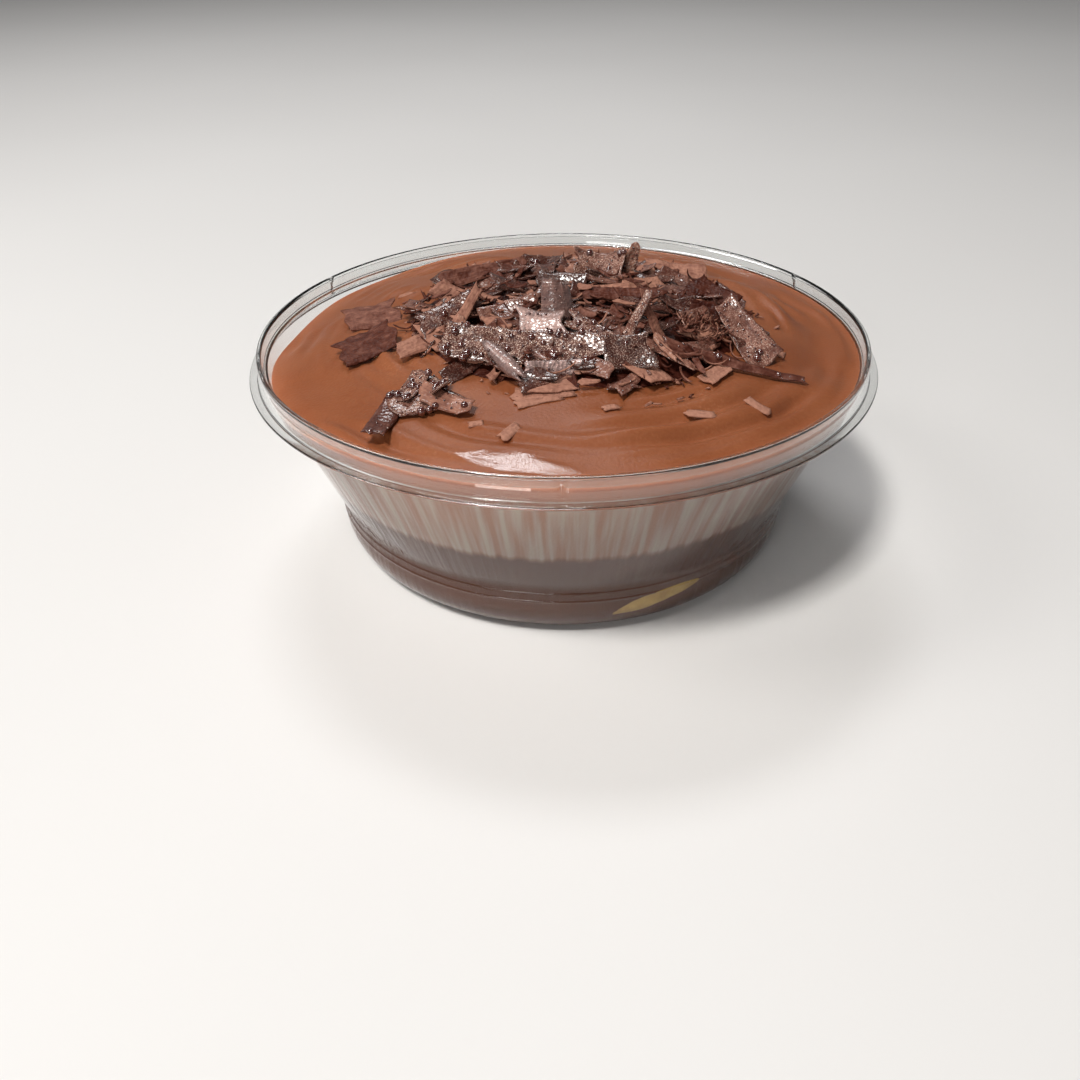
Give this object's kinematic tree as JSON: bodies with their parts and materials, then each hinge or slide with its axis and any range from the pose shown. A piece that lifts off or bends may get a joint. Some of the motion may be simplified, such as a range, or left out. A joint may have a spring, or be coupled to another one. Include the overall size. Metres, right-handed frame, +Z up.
{
  "type": "profiteroles in a cup",
  "caption": "Clear plastic dessert bowl filled with chocolate mousse round choux buns, with a heap of dark chocolate shavings on top.",
  "frame": {"origin": "middle of the bowl's flat base, on the surface it stands on", "axes": "+Z up along the bowl's axis, -Y towards the side that faces the viewer"},
  "size_m": [0.1558, 0.1558, 0.0723],
  "materials": {
    "clear_plastic": "clear gloss",
    "mousse": "smooth satin",
    "choux": "matt",
    "dark_chocolate": "satin"
  },
  "bodies": {
    "root": {"cup": "clear_plastic", "mousse": "mousse", "choux_bun": "choux", "shavings": "dark_chocolate", "shavings_front": "dark_chocolate", "flake_left": "dark_chocolate", "flake_left_rear": "dark_chocolate"}
  },
  "joints": []
}
